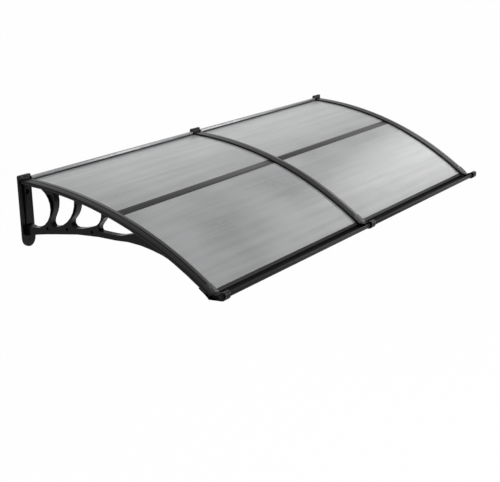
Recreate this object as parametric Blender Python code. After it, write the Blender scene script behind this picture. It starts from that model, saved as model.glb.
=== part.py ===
"""Door awning, two bays of twin-wall sheet on three moulded arched brackets.

Metres, +Z up. X runs along the wall, the wall is the plane Y = 0, and the awning reaches out to -Y.
The origin is on the back of the centre bracket, midway between its two bolt holes.

Side outlines are drawn as (out, up): out is the distance from the wall and up is the height over the
spring line, which is where the top of the arch meets the wall. Everything that follows the arch takes
a depth, which is measured from the top of the press strips towards the arch's centre.
"""
import math

import bmesh
import bpy
from mathutils import Vector

# The whole awning
BAY = 1.200
BRACKET_COUNT = 3
REACH = 0.865
ARCH_TILT_WALL = math.radians(5.0)
ARCH_TILT_FRONT = math.radians(40.5)
ARCH_FACETS = 16
CLEARANCE = 0.0003
WELD = 0.000001
BOLT_SPACING = 0.192
UPPER_BOLT_DROP = 0.050

# What lies between the top of the arch and the bracket's rail, from the top down
STRIP_THICKNESS = 0.0026
STRIP_CROWN = 0.0010
SEAL_THICKNESS = 0.0058
SHEET_THICKNESS = 0.0050

# Bracket
PLATE_WIDTH = 0.070
PLATE_THICKNESS = 0.010
PLATE_TOP = 0.016
PLATE_TAIL = 0.027
PLATE_CORNER = 0.006
BOLT_HOLE = 0.009
BOLT_RECESS = 0.022
BODY_WIDTH = 0.030
SPINE_OUT = 0.014
RAIL_WIDTH = 0.044
RAIL_THICKNESS = 0.0030
RAIL_DEPTH = 0.0065
RAIL_SHORT = 0.017
BODY_SHORT = 0.0023
RIDGE_WIDTH = 0.014
KEY_WIDTH = 0.006
KEY_HEIGHT = 0.0037
BOSS_DIAMETER = 0.014
BOSS_DEPTH = 0.006
STRUT_RIM = 0.0040
STRUT_RECESS = 0.009

# Press strips and their front ends
STRIP_WIDTH = 0.056
STRIP_LIP = 0.0018
STRIP_LIP_DROP = 0.0058
STRIP_GROOVE_WIDTH = 0.0044
STRIP_GROOVE_DEPTH = 0.0009
END_LENGTH = 0.048
END_RIDGES = 4
END_RIDGE_PITCH = 0.0095
END_RIDGE_WIDTH = 0.0040
END_RIDGE_HEIGHT = 0.0010
END_NOSE = 0.0130
END_NOSE_ROUND = 0.0022
SEAL_WIDTH = 0.0155

# Sheets
SHEET_EDGE_GAP = 0.0015
SHEET_SHORT = 0.004
SHEET_SKIN = 0.0007
SHEET_CELLS = 8
MID_TILT = math.radians(21.7)

# Rear rail and its seal
REAR_HEIGHT = 0.0035
REAR_DEPTH = 0.016
REAR_WALL = 0.0016
REAR_SKIRT = 0.006
REAR_SCREW_HOLE = 0.0055
REAR_SEAL_WIDTH = 0.0040
REAR_SEAL_HEIGHT = 0.0048

# Joining strip between the rear and the front sheets
JOINER_WIDTH = 0.034
JOINER_FLANGE = 0.0014
JOINER_WEB = 0.0020

# Front gutter
GUTTER_WALL = 0.0014
GUTTER_GRIP = 0.012
GUTTER_DROP = 0.0172
GUTTER_STAND = 0.052
GUTTER_HEIGHT = 0.0205
GUTTER_FRONT_RADIUS = 0.012
GUTTER_BEAD = 0.0040
COLLAR_WIDTH = 0.036
COLLAR_THICKNESS = 0.0045
COLLAR_TONGUE = 0.034

# Screws
SCREW_RADIUS = 0.00175
SCREW_HEAD_RADIUS = 0.0040
SCREW_HEAD_HEIGHT = 0.0024
COLLAR_SCREW_BITE = 0.007
SCREW_PASS = 0.002
SCREW_TIP = 0.001
DRIVER_POCKET = 0.012
HOLE_SIDES = 8
STRIP_SCREW_FACETS = (1, 7, 13)

# The bracket's openwork as (out, up): each strut lies between two circles
STRUT_1_WALL_SIDE = ((0.054, -0.104), 0.085)
STRUT_1_FRONT_SIDE = ((0.048, -0.074), 0.115)
STRUT_2_WALL_SIDE = ((0.146, -0.065), 0.112)
STRUT_2_FRONT_SIDE = ((0.174, -0.066), 0.100)
STRUT_3_WALL_SIDE = ((0.331, -0.108), 0.052)
STRUT_3_FRONT_SIDE = ((0.405, -0.110), (0.397, -0.121), (0.387, -0.134), (0.376, -0.146), (0.367, -0.157),
                      (0.365, -0.167))
STRUT_1_FOOT = ((0.1395, -0.147), (0.1365, -0.157), (0.1375, -0.167), (0.1430, -0.1755))
STRUT_2_FOOT = ((0.2390, -0.142), (0.2360, -0.151), (0.2370, -0.160), (0.2440, -0.1695))
CHORD_UNDER_3 = ((0.256, -0.1735), (0.290, -0.1715), (0.322, -0.1645))
CHORD_TOP_FRONT = ((0.370, -0.1755), (0.391, -0.178), (0.439, -0.182), (0.473, -0.1815), (0.505, -0.174))
CHORD_UNDERSIDE = ((0.045, -0.218), (0.105, -0.2105), (0.165, -0.2050), (0.265, -0.1970), (0.365, -0.1975),
                   (0.445, -0.2035), (0.502, -0.2045), (0.558, -0.2125), (0.604, -0.2240), (0.650, -0.2390))
CHORD_FOOT_DROP = 0.226
CHORD_REACH = 0.695
STRUT_BOSSES = ((0.118, -0.187), (0.214, -0.181), (0.335, -0.181))
STRUT_2_CROTCH = 0.004
STRUT_3_TURN = 0.012
STRUT_3_SHOULDER = 0.020
CHORD_TIP_REACH = 0.541
STRUT_RECESS_SPAN = ((-0.052, -0.132), (-0.078, -0.127))
OPENING_STEPS = 7

# Materials: colour, roughness, metallic, alpha
FINISHES = {
    "black_plastic": ((0.018, 0.018, 0.019), 0.42, 0.0, 1.0),
    "black_aluminium": ((0.045, 0.045, 0.047), 0.38, 0.8, 1.0),
    "silver_aluminium": ((0.55, 0.55, 0.56), 0.35, 1.0, 1.0),
    "grey_sheet": ((0.42, 0.43, 0.44), 0.25, 0.0, 0.75),
    "black_rubber": ((0.012, 0.012, 0.012), 0.75, 0.0, 1.0),
    "zinc_steel": ((0.50, 0.50, 0.49), 0.35, 1.0, 1.0),
}

# Derived places
SPRING_UP = UPPER_BOLT_DROP + BOLT_SPACING / 2
ARCH_RADIUS = REACH / (math.sin(ARCH_TILT_FRONT) - math.sin(ARCH_TILT_WALL))
ARCH_CENTRE_OUT = -ARCH_RADIUS * math.sin(ARCH_TILT_WALL)
ARCH_CENTRE_UP = -ARCH_RADIUS * math.cos(ARCH_TILT_WALL)
FACET = (ARCH_TILT_FRONT - ARCH_TILT_WALL) / ARCH_FACETS
SEAL_TOP = STRIP_THICKNESS + CLEARANCE
SHEET_TOP = SEAL_TOP + SEAL_THICKNESS + CLEARANCE
SHEET_UNDER = SHEET_TOP + SHEET_THICKNESS
RAIL_TOP = SHEET_UNDER + CLEARANCE
RAIL_UNDER = RAIL_TOP + RAIL_THICKNESS
BODY_UNDER = RAIL_TOP + RAIL_DEPTH
LOWER_BOLT_UP = -UPPER_BOLT_DROP - BOLT_SPACING
PLATE_BOTTOM = LOWER_BOLT_UP - PLATE_TAIL
BRACKET_X = [BAY * (number - (BRACKET_COUNT - 1) / 2) for number in range(BRACKET_COUNT)]
BRACKET_NAMES = ("left", "center", "right")
BAY_NAMES = ("left", "right")
SHEET_MARGIN = RIDGE_WIDTH / 2 + SHEET_EDGE_GAP
SEAL_START = SHEET_MARGIN + SHEET_EDGE_GAP
HOLE_RADIUS = SCREW_RADIUS + CLEARANCE


def tilt_at(out, depth=0):
    """Angle on the arch, from the vertical, of a point this far out and this deep."""
    return math.asin((out - ARCH_CENTRE_OUT) / (ARCH_RADIUS - depth))


RAIL_END_TILT = tilt_at(REACH - RAIL_SHORT)
SHEET_END_TILT = tilt_at(REACH - SHEET_SHORT)
STRIP_END_TILT = tilt_at(REACH) - END_LENGTH / ARCH_RADIUS
REAR_TILT = tilt_at(PLATE_THICKNESS + 2 * CLEARANCE, RAIL_TOP)


def facet_number(tilt):
    return math.floor((tilt - ARCH_TILT_WALL) / FACET)


def facet_tilt(tilt):
    """Tilt of the flat facet of the arch that this angle lies on."""
    return ARCH_TILT_WALL + (facet_number(tilt) + 0.5) * FACET


def corner(number, depth):
    tilt = ARCH_TILT_WALL + number * FACET
    radius = ARCH_RADIUS - depth
    return Vector((ARCH_CENTRE_OUT + radius * math.sin(tilt), ARCH_CENTRE_UP + radius * math.cos(tilt)))


def on_arch(tilt, depth):
    """Point (out, up) at this depth on the faceted arch, which all curved pieces share."""
    number = facet_number(tilt)
    share = (tilt - ARCH_TILT_WALL) / FACET - number
    return corner(number, depth).lerp(corner(number + 1, depth), share)


ARCH_END = on_arch(tilt_at(REACH), 0)
GUTTER_FLOOR = ARCH_END[1] - GUTTER_DROP
GUTTER_FRONT = ARCH_END[0] + GUTTER_STAND
GUTTER_LIP_UP = GUTTER_FLOOR + GUTTER_HEIGHT


def arch_tilts(first, last):
    """The two ends and every corner of the arch between them."""
    margin = FACET * 0.02
    corners = [ARCH_TILT_WALL + number * FACET for number in range(ARCH_FACETS + 1)]
    return [first] + [tilt for tilt in corners if first + margin < tilt < last - margin] + [last]


def arch_line(first, last, depth):
    return [on_arch(tilt, depth) for tilt in arch_tilts(first, last)]


def place(x, point):
    """World position of a side outline's point (out, up)."""
    return Vector((x, -point[0], point[1] + SPRING_UP))


def material(name):
    found = bpy.data.materials.get(name)
    if found:
        return found
    colour, roughness, metallic, alpha = FINISHES[name]
    made = bpy.data.materials.new(name)
    made.use_nodes = True
    shader = made.node_tree.nodes["Principled BSDF"]
    shader.inputs["Base Color"].default_value = (*colour, 1.0)
    shader.inputs["Roughness"].default_value = roughness
    shader.inputs["Metallic"].default_value = metallic
    shader.inputs["Alpha"].default_value = alpha
    return made


def finish_mesh(mesh_maker, name):
    """Close a bmesh with its faces pointing out and keep it as a mesh."""
    bmesh.ops.remove_doubles(mesh_maker, verts=mesh_maker.verts, dist=WELD)
    bmesh.ops.recalc_face_normals(mesh_maker, faces=mesh_maker.faces)
    mesh = bpy.data.meshes.new(name)
    mesh_maker.to_mesh(mesh)
    mesh_maker.free()
    return mesh


def shade(mesh, angle=35):
    mesh.shade_smooth()
    mesh.set_sharp_from_angle(angle=math.radians(angle))
    return mesh


def loft(rings, name):
    """Skin a list of rings of points, with a flat face at each end."""
    maker = bmesh.new()
    rows = [[maker.verts.new(point) for point in ring] for ring in rings]
    count = len(rings[0])
    for near, far in zip(rows, rows[1:]):
        for index in range(count):
            after = (index + 1) % count
            maker.faces.new((near[index], near[after], far[after], far[index]))
    maker.faces.new(rows[0])
    maker.faces.new(rows[-1])
    return finish_mesh(maker, name)


def arch_sweep(section, first, last, name):
    """Sweep a section of (x, depth) points along the arch."""
    rings = []
    for tilt in arch_tilts(first, last):
        rings.append([place(x, on_arch(tilt, depth)) for x, depth in section])
    return loft(rings, name)


def straight(outline, x_from, x_to, name):
    """Draw a side outline out along X."""
    return loft([[place(x, point) for point in outline] for x in (x_from, x_to)], name)


def pierced(outline, holes, x_from, x_to, name):
    """Draw a side outline with openings out along X."""
    maker = bmesh.new()
    loops = [outline] + holes
    caps = []
    for x in (x_from, x_to):
        cap = []
        edges = []
        for loop in loops:
            verts = [maker.verts.new(place(x, point)) for point in loop]
            cap.append(verts)
            edges += [maker.edges.new((verts[k], verts[(k + 1) % len(verts)])) for k in range(len(verts))]
        bmesh.ops.triangle_fill(maker, use_beauty=True, edges=edges)
        caps.append(cap)
    for near, far in zip(*caps):
        for index in range(len(near)):
            after = (index + 1) % len(near)
            maker.faces.new((near[index], near[after], far[after], far[index]))
    return finish_mesh(maker, name)


def turned(profile, sides, name):
    """Turn a profile of (radius, height) points, which starts and ends on the axis, round Z."""
    maker = bmesh.new()
    rings = []
    for radius, height in profile:
        if radius == 0:
            rings.append([maker.verts.new((0, 0, height))])
            continue
        angles = [2 * math.pi * side / sides for side in range(sides)]
        rings.append([maker.verts.new((radius * math.cos(a), radius * math.sin(a), height)) for a in angles])
    for low, high in zip(rings, rings[1:]):
        for side in range(sides):
            after = (side + 1) % sides
            if len(low) == 1:
                maker.faces.new((low[0], high[side], high[after]))
            elif len(high) == 1:
                maker.faces.new((low[side], high[0], low[after]))
            else:
                maker.faces.new((low[side], low[after], high[after], high[side]))
    return finish_mesh(maker, name)


def rod(radius, length, sides, name):
    return turned(((0, 0), (radius, 0), (radius, length), (0, length)), sides, name)


def working(mesh, location=(0, 0, 0), turn=None):
    """A passing object that Booleans use."""
    item = bpy.data.objects.new(mesh.name, mesh)
    item.location = location
    if turn:
        item.rotation_euler = turn
    item.display_type = "WIRE"
    item.hide_render = True
    bpy.context.scene.collection.objects.link(item)
    return item


def combined(mesh, operation, others):
    """Join a mesh with a group of working objects, or cut it by them, and clean what comes out."""
    base = working(mesh)
    group = bpy.data.collections.new(operation.lower())
    for other in others:
        group.objects.link(other)
    modifier = base.modifiers.new(operation.lower(), "BOOLEAN")
    modifier.operation = operation
    modifier.solver = "EXACT"
    modifier.operand_type = "COLLECTION"
    modifier.collection = group
    bpy.context.view_layer.update()
    evaluated = base.evaluated_get(bpy.context.evaluated_depsgraph_get())
    result = bpy.data.meshes.new_from_object(evaluated)
    result.name = mesh.name
    for item in others + [base]:
        bpy.data.objects.remove(item)
    bpy.data.collections.remove(group)
    maker = bmesh.new()
    maker.from_mesh(result)
    bmesh.ops.remove_doubles(maker, verts=maker.verts, dist=WELD)
    bmesh.ops.dissolve_degenerate(maker, edges=maker.edges, dist=WELD)
    maker.to_mesh(result)
    maker.free()
    return result


def show(name, mesh, finish, x=0.0, location=None, tilt=None):
    """Put a mesh in the scene as a named piece of the awning."""
    if not mesh.materials:
        mesh.materials.append(material(finish))
    item = bpy.data.objects.new(name, mesh)
    item.location = location if location else (x, 0, 0)
    if tilt is not None:
        item.rotation_euler = (tilt, 0, 0)
    item.parent = bpy.data.objects["awning"]
    bpy.context.scene.collection.objects.link(item)
    return item


def circle_points(centre, radius, first, last, steps):
    """Points on a circle between two of its points, the shorter way round."""
    start = math.atan2(first[1] - centre[1], first[0] - centre[0])
    turn = math.atan2(last[1] - centre[1], last[0] - centre[0]) - start
    turn = (turn + math.pi) % (2 * math.pi) - math.pi
    angles = [start + turn * step / steps for step in range(steps + 1)]
    return [Vector((centre[0] + radius * math.cos(a), centre[1] + radius * math.sin(a))) for a in angles]


def under_rail(circle):
    """Where a strut's circle runs into the underside of the arch, on the circle's front side."""
    centre, radius = circle
    low = centre[0]
    high = centre[0] + radius
    for _ in range(40):
        out = (low + high) / 2
        up = centre[1] + math.sqrt(max(radius ** 2 - (out - centre[0]) ** 2, 0))
        if up > on_arch(tilt_at(out), BODY_UNDER)[1]:
            low = out
        else:
            high = out
    return Vector((low, centre[1] + math.sqrt(max(radius ** 2 - (low - centre[0]) ** 2, 0))))


def circle_at(circle, out, side):
    """Point of a circle at this distance out, above (1) or below (-1) its centre."""
    (centre_out, centre_up), radius = circle
    return Vector((out, centre_up + side * math.sqrt(radius ** 2 - (out - centre_out) ** 2)))


def underside_between(first, last):
    """The arch's underside from one point on it back to another that is nearer to the wall."""
    line = arch_line(tilt_at(last[0]) + 0.5 * FACET, tilt_at(first[0]) - 0.2 * FACET, BODY_UNDER)
    return list(reversed(line))[1:-1]


def smooth(points, steps):
    """A Catmull-Rom curve through points."""
    ends = [Vector(points[0]) * 2 - Vector(points[1])] + [Vector(p) for p in points]
    ends.append(Vector(points[-1]) * 2 - Vector(points[-2]))
    line = []
    for a, b, c, d in zip(ends, ends[1:], ends[2:], ends[3:]):
        for step in range(steps):
            t = step / steps
            line.append(0.5 * (2 * b + (c - a) * t + (2 * a - 5 * b + 4 * c - d) * t ** 2
                               + (3 * b - a - 3 * c + d) * t ** 3))
    line.append(ends[-2])
    return line


def strut_openings():
    """The four openings between the wall spine, the three struts, the arch and the chord."""
    corners = {}
    for name, circle in (("s1_wall", STRUT_1_WALL_SIDE), ("s1_front", STRUT_1_FRONT_SIDE),
                         ("s2_wall", STRUT_2_WALL_SIDE), ("s2_front", STRUT_2_FRONT_SIDE),
                         ("s3_wall", STRUT_3_WALL_SIDE)):
        corners[name] = under_rail(circle)

    spine_top = on_arch(tilt_at(SPINE_OUT) + 0.1 * FACET, BODY_UNDER)
    spine_foot = circle_at(STRUT_1_WALL_SIDE, SPINE_OUT, -1)
    lowest_out = STRUT_1_WALL_SIDE[0][0] + 0.6 * STRUT_1_WALL_SIDE[1]
    turn_1 = circle_at(STRUT_1_WALL_SIDE, lowest_out, -1)
    first = circle_points(*STRUT_1_WALL_SIDE, spine_foot, turn_1, OPENING_STEPS // 2)
    first += circle_points(*STRUT_1_WALL_SIDE, turn_1, corners["s1_wall"], OPENING_STEPS)[1:]
    first.append(spine_top)

    foot_1 = [Vector(point) for point in STRUT_1_FOOT]
    crotch_2 = circle_at(STRUT_2_WALL_SIDE, STRUT_1_FOOT[-1][0] + STRUT_2_CROTCH, -1)
    second = circle_points(*STRUT_2_WALL_SIDE, crotch_2, corners["s2_wall"], OPENING_STEPS)
    second += underside_between(corners["s2_wall"], corners["s1_front"])
    second += circle_points(*STRUT_1_FRONT_SIDE, corners["s1_front"], foot_1[0], OPENING_STEPS)[:-1]
    second += foot_1

    foot_2 = [Vector(point) for point in STRUT_2_FOOT]
    under_3 = [Vector(point) for point in CHORD_UNDER_3]
    bottom_3 = circle_at(STRUT_3_WALL_SIDE, STRUT_3_WALL_SIDE[0][0] + STRUT_3_TURN, -1)
    third = under_3 + circle_points(*STRUT_3_WALL_SIDE, bottom_3, corners["s3_wall"], OPENING_STEPS - 2)
    third += underside_between(corners["s3_wall"], corners["s2_front"])
    third += circle_points(*STRUT_2_FRONT_SIDE, corners["s2_front"], foot_2[0], OPENING_STEPS)[:-1]
    third += foot_2

    side_3 = [Vector(point) for point in STRUT_3_FRONT_SIDE]
    tip = on_arch(tilt_at(CHORD_TIP_REACH), BODY_UNDER)
    fourth = smooth(CHORD_TOP_FRONT, 2) + [tip]
    fourth += underside_between(tip, side_3[0] + Vector((STRUT_3_SHOULDER, 0)))
    side_3[0] = on_arch(tilt_at(STRUT_3_FRONT_SIDE[0][0]) + 0.25 * FACET, BODY_UNDER)
    fourth += side_3
    return [first, second, third, fourth]


def bracket_outline():
    """Side outline of the bracket's body: the arch above, the bowed chord below."""
    inside_rail = (RAIL_TOP + RAIL_UNDER) / 2
    inside_plate = PLATE_THICKNESS / 2
    end_tilt = RAIL_END_TILT - BODY_SHORT / ARCH_RADIUS
    top = arch_line(tilt_at(inside_plate), end_tilt, inside_rail)
    chord_end = tilt_at(CHORD_REACH)
    underside = list(reversed(arch_line(chord_end, end_tilt, BODY_UNDER)))
    chord = list(reversed(smooth(CHORD_UNDERSIDE, 1)))
    heel = [Vector((inside_plate, -CHORD_FOOT_DROP))]
    return top + underside + chord + heel


def rail_section():
    """The rail's section: a flat plate with a grooved ridge that the sheets stand off from."""
    half = RAIL_WIDTH / 2
    ridge = RIDGE_WIDTH / 2
    groove = KEY_WIDTH / 2 + CLEARANCE
    groove_floor = STRIP_THICKNESS + KEY_HEIGHT + CLEARANCE
    right = [(groove, groove_floor), (groove, SEAL_TOP), (ridge, SEAL_TOP), (ridge, RAIL_TOP),
             (half, RAIL_TOP), (half, RAIL_UNDER)]
    left = [(-x, depth) for x, depth in reversed(right)]
    return right + left


def plate_outline():
    """Front outline (x, up) of the wall plate: rounded top corners and a half-round foot."""
    half = PLATE_WIDTH / 2
    corner_up = PLATE_TOP - PLATE_CORNER
    foot_up = PLATE_BOTTOM + half
    right = circle_points((half - PLATE_CORNER, corner_up), PLATE_CORNER, (half, corner_up),
                          (half - PLATE_CORNER, PLATE_TOP), 4)
    left = [Vector((-point[0], point[1])) for point in reversed(right)]
    angles = [math.pi * step / 10 for step in range(11)]
    foot = [Vector((-half * math.cos(a), foot_up - half * math.sin(a))) for a in angles]
    return right + left + foot


def bracket_mesh():
    half = BODY_WIDTH / 2
    body = pierced(bracket_outline(), strut_openings(), -half, half, "bracket")
    body = combined(body, "DIFFERENCE", boss_cutters() + recess_cutters())
    rail = arch_sweep(rail_section(), tilt_at(PLATE_THICKNESS * 0.6), RAIL_END_TILT, "bracket_rail")
    plate_rings = [[Vector((x, -out, up + SPRING_UP)) for x, up in plate_outline()]
                   for out in (0, PLATE_THICKNESS)]
    plate = loft(plate_rings, "bracket_plate")
    joined = combined(body, "UNION", [working(rail), working(plate)])
    drilled = combined(joined, "DIFFERENCE", bolt_cutters())
    towards_front = (math.pi / 2, 0, 0)
    recess = rod(BOLT_RECESS / 2, SPINE_OUT, 16, "bolt_recess")
    recess = working(recess, place(0, (PLATE_THICKNESS, -UPPER_BOLT_DROP)), towards_front)
    return shade(combined(drilled, "DIFFERENCE", [recess] + rail_screw_cutters()))


def bolt_cutters():
    cutters = []
    for up in (-UPPER_BOLT_DROP, LOWER_BOLT_UP):
        hole = rod(BOLT_HOLE / 2, 3 * SPINE_OUT, 12, "bolt_hole")
        cutters.append(working(hole, place(0, (-SPINE_OUT, up)), (math.pi / 2, 0, 0)))
    return cutters


def rail_screw_cutters():
    """Holes and driver pockets for the press strip's screws, and the collar screw's blind hole."""
    pocket_radius = SCREW_HEAD_RADIUS + CLEARANCE
    cutters = []
    for number in STRIP_SCREW_FACETS:
        tilt = ARCH_TILT_WALL + (number + 0.5) * FACET
        start = place(0, on_arch(tilt, BODY_UNDER + SCREW_PASS))
        hole = rod(HOLE_RADIUS, BODY_UNDER, HOLE_SIDES, "strip_screw_hole")
        cutters.append(working(hole, start, (tilt, 0, 0)))
        start = place(0, on_arch(tilt, BODY_UNDER + DRIVER_POCKET))
        pocket = rod(pocket_radius, DRIVER_POCKET, HOLE_SIDES, "driver_pocket")
        cutters.append(working(pocket, start, (tilt, 0, 0)))
    start = place(0, on_arch(collar_screw_tilt(), BODY_UNDER + SCREW_PASS))
    hole = rod(HOLE_RADIUS, COLLAR_SCREW_BITE + SCREW_PASS + SCREW_TIP, HOLE_SIDES, "collar_screw_hole")
    cutters.append(working(hole, start, (facet_tilt(collar_screw_tilt()), 0, 0)))
    return cutters


def boss_cutters():
    """Round recesses at the feet of the struts, on both sides."""
    cutters = []
    for side in (-1, 1):
        for point in STRUT_BOSSES:
            x = side * (BODY_WIDTH / 2 - BOSS_DEPTH)
            mesh = rod(BOSS_DIAMETER / 2, 2 * BOSS_DEPTH, 12, "boss_recess")
            cutters.append(working(mesh, place(x, point), (0, side * math.pi / 2, 0)))
    return cutters


def recess_cutters():
    """Shallow recesses that leave a rim along both edges of the first two struts."""
    cutters = []
    pairs = ((STRUT_1_WALL_SIDE, STRUT_1_FRONT_SIDE), (STRUT_2_WALL_SIDE, STRUT_2_FRONT_SIDE))
    for (wall_side, front_side), (top_up, foot_up) in zip(pairs, STRUT_RECESS_SPAN):
        outline = []
        for (centre, radius), rim, ends in ((wall_side, STRUT_RIM, (foot_up, top_up)),
                                            (front_side, -STRUT_RIM, (top_up, foot_up))):
            reach = radius + rim
            points = [(centre[0] + math.sqrt(reach ** 2 - (up - centre[1]) ** 2), up) for up in ends]
            outline += circle_points(centre, reach, points[0], points[1], 5)
        for side in (-1, 1):
            inner = side * (BODY_WIDTH / 2 - STRUT_RECESS)
            outer = side * BODY_WIDTH
            cutters.append(working(straight(outline, inner, outer, "strut_recess")))
    return cutters


def press_strip_mesh():
    """Crowned aluminium strip with turned-down lips, a groove on top and a key underneath."""
    half = STRIP_WIDTH / 2
    groove = STRIP_GROOVE_WIDTH / 2
    key = KEY_WIDTH / 2
    lip_bottom = STRIP_THICKNESS + STRIP_LIP_DROP
    lip_inside = half - STRIP_LIP
    right = [(0, STRIP_GROOVE_DEPTH), (groove * 0.55, STRIP_GROOVE_DEPTH), (groove, 0),
             (half - 0.0035, STRIP_CROWN * 0.7), (half, STRIP_CROWN * 2.4), (half, lip_bottom),
             (lip_inside, lip_bottom), (lip_inside, STRIP_THICKNESS), (key, STRIP_THICKNESS),
             (key, STRIP_THICKNESS + KEY_HEIGHT)]
    left = [(-x, depth) for x, depth in reversed(right[1:])]
    blank = arch_sweep(right + left, REAR_TILT, STRIP_END_TILT, "press_strip")
    holes = []
    for number in STRIP_SCREW_FACETS:
        tilt = ARCH_TILT_WALL + (number + 0.5) * FACET
        start = place(0, on_arch(tilt, STRIP_THICKNESS + KEY_HEIGHT + SCREW_PASS))
        hole = rod(HOLE_RADIUS, KEY_HEIGHT + SCREW_PASS, HOLE_SIDES, "key_hole")
        holes.append(working(hole, start, (tilt, 0, 0)))
    return shade(combined(blank, "DIFFERENCE", holes))


def strip_end_mesh():
    """Moulded front end of a press strip: cross ridges, side skirts and a nose over the sheet's edge."""
    first = STRIP_END_TILT + CLEARANCE / ARCH_RADIUS
    last = tilt_at(REACH)
    tangent_step = 1 / ARCH_RADIUS
    top = [on_arch(first, 0)]
    ridge_start = first + END_RIDGE_PITCH * 0.6 * tangent_step
    for number in range(END_RIDGES):
        start = ridge_start + number * END_RIDGE_PITCH * tangent_step
        for share, height in ((0, 0), (0.3, 1), (0.7, 1), (1, 0)):
            tilt = start + share * END_RIDGE_WIDTH * tangent_step
            top.append(on_arch(tilt, -height * END_RIDGE_HEIGHT))
    along = Vector((math.cos(facet_tilt(last)), -math.sin(facet_tilt(last))))
    down = Vector((-math.sin(facet_tilt(last)), -math.cos(facet_tilt(last))))
    front = on_arch(last, 0)
    nose_back = slot_front() + along * CLEARANCE
    nose_top = nose_back + along * STRIP_THICKNESS
    depth_of_nose = (nose_top - front).dot(down)
    nose = [front + along * (nose_top - front).dot(along) * 0.55,
            nose_top + down * (END_NOSE_ROUND - depth_of_nose),
            nose_top + down * (END_NOSE - depth_of_nose),
            nose_back + down * (END_NOSE - (nose_back - front).dot(down)),
            nose_back + down * (STRIP_THICKNESS - (nose_back - front).dot(down))]
    under = list(reversed(arch_line(first, SHEET_END_TILT, STRIP_THICKNESS)))
    half = STRIP_WIDTH / 2
    top_mesh = straight(top + nose + under, -half, half, "strip_end")
    skirts = [working(mesh) for mesh in strip_end_skirts(first, half)]
    return shade(combined(top_mesh, "UNION", skirts), 30)


def strip_end_skirts(first, half):
    """The moulded end's two side walls: as deep as the strip's lips, but clear of the gutter's grip."""
    lip_bottom = STRIP_THICKNESS + STRIP_LIP_DROP
    over_grip = SHEET_TOP - 2 * CLEARANCE - GUTTER_WALL
    step_tilt = SHEET_END_TILT - (GUTTER_GRIP + 2 * CLEARANCE) / ARCH_RADIUS
    nose_tilt = SHEET_END_TILT + (2 * CLEARANCE + GUTTER_WALL + STRIP_THICKNESS / 2) / ARCH_RADIUS
    outline = arch_line(first, nose_tilt, STRIP_THICKNESS / 2)
    outline += reversed(arch_line(step_tilt, nose_tilt, over_grip))
    outline += reversed(arch_line(first, step_tilt, lip_bottom))
    inside = half - STRIP_LIP
    return [straight(outline, -half, -inside, "left_skirt"), straight(outline, inside, half, "right_skirt")]


def sheet_mesh(first, last, name):
    """One arched sheet with open cells from its rear edge to its front edge."""
    width = BAY - 2 * SHEET_MARGIN
    pitch = (width - SHEET_SKIN) / SHEET_CELLS
    cells = []
    for number in range(SHEET_CELLS):
        x_from = SHEET_MARGIN + SHEET_SKIN + number * pitch
        x_to = x_from + pitch - SHEET_SKIN
        top = SHEET_TOP + SHEET_SKIN
        under = SHEET_UNDER - SHEET_SKIN
        cells.append(((x_from, top), (x_to, top), (x_to, under), (x_from, under)))
    edge = ((SHEET_MARGIN, SHEET_TOP), (SHEET_MARGIN + width, SHEET_TOP),
            (SHEET_MARGIN + width, SHEET_UNDER), (SHEET_MARGIN, SHEET_UNDER))
    maker = bmesh.new()
    rows = []
    for tilt in arch_tilts(first, last):
        rows.append([[maker.verts.new(place(x, on_arch(tilt, depth))) for x, depth in loop]
                     for loop in [edge] + cells])
    for near, far in zip(rows, rows[1:]):
        for near_loop, far_loop in zip(near, far):
            for index in range(4):
                after = (index + 1) % 4
                maker.faces.new((near_loop[index], near_loop[after], far_loop[after], far_loop[index]))
    for row in (rows[0], rows[-1]):
        edges = [maker.edges.get((loop[k], loop[(k + 1) % 4])) for loop in row for k in range(4)]
        bmesh.ops.triangle_fill(maker, use_beauty=True, edges=edges)
    return shade(finish_mesh(maker, name), 20)


def seal_mesh(side, on_sheet, name):
    """Rubber strip beside the rail's ridge: thin where it lies on a sheet, full where none does."""
    bottom = SHEET_TOP - CLEARANCE if on_sheet else RAIL_TOP - CLEARANCE
    section = [(SEAL_START, SEAL_TOP), (SEAL_START + SEAL_WIDTH, SEAL_TOP),
               (SEAL_START + SEAL_WIDTH, bottom), (SEAL_START, bottom)]
    section = [(side * x, depth) for x, depth in section]
    return shade(arch_sweep(section, REAR_TILT, RAIL_END_TILT, name), 20)


def joiner_mesh():
    """H-section strip that holds the rear and the front sheet edge to edge."""
    reach = JOINER_WIDTH / 2 / ARCH_RADIUS
    web = JOINER_WEB / 2 / ARCH_RADIUS
    top_in = SHEET_TOP - CLEARANCE
    under_in = SHEET_UNDER + CLEARANCE
    top_out = top_in - JOINER_FLANGE
    under_out = under_in + JOINER_FLANGE
    outline = [on_arch(MID_TILT - reach * 0.94, top_out), on_arch(MID_TILT + reach * 0.94, top_out),
               on_arch(MID_TILT + reach, top_out + JOINER_FLANGE * 0.5), on_arch(MID_TILT + reach, top_in),
               on_arch(MID_TILT + web, top_in), on_arch(MID_TILT + web, under_in),
               on_arch(MID_TILT + reach, under_in), on_arch(MID_TILT + reach, under_out),
               on_arch(MID_TILT - reach, under_out), on_arch(MID_TILT - reach, under_in),
               on_arch(MID_TILT - web, under_in), on_arch(MID_TILT - web, top_in),
               on_arch(MID_TILT - reach, top_in), on_arch(MID_TILT - reach, top_out + JOINER_FLANGE * 0.5)]
    margin = STRIP_WIDTH / 2 + 2 * CLEARANCE
    return straight(outline, margin, BAY - margin, "joining_strip")


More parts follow.
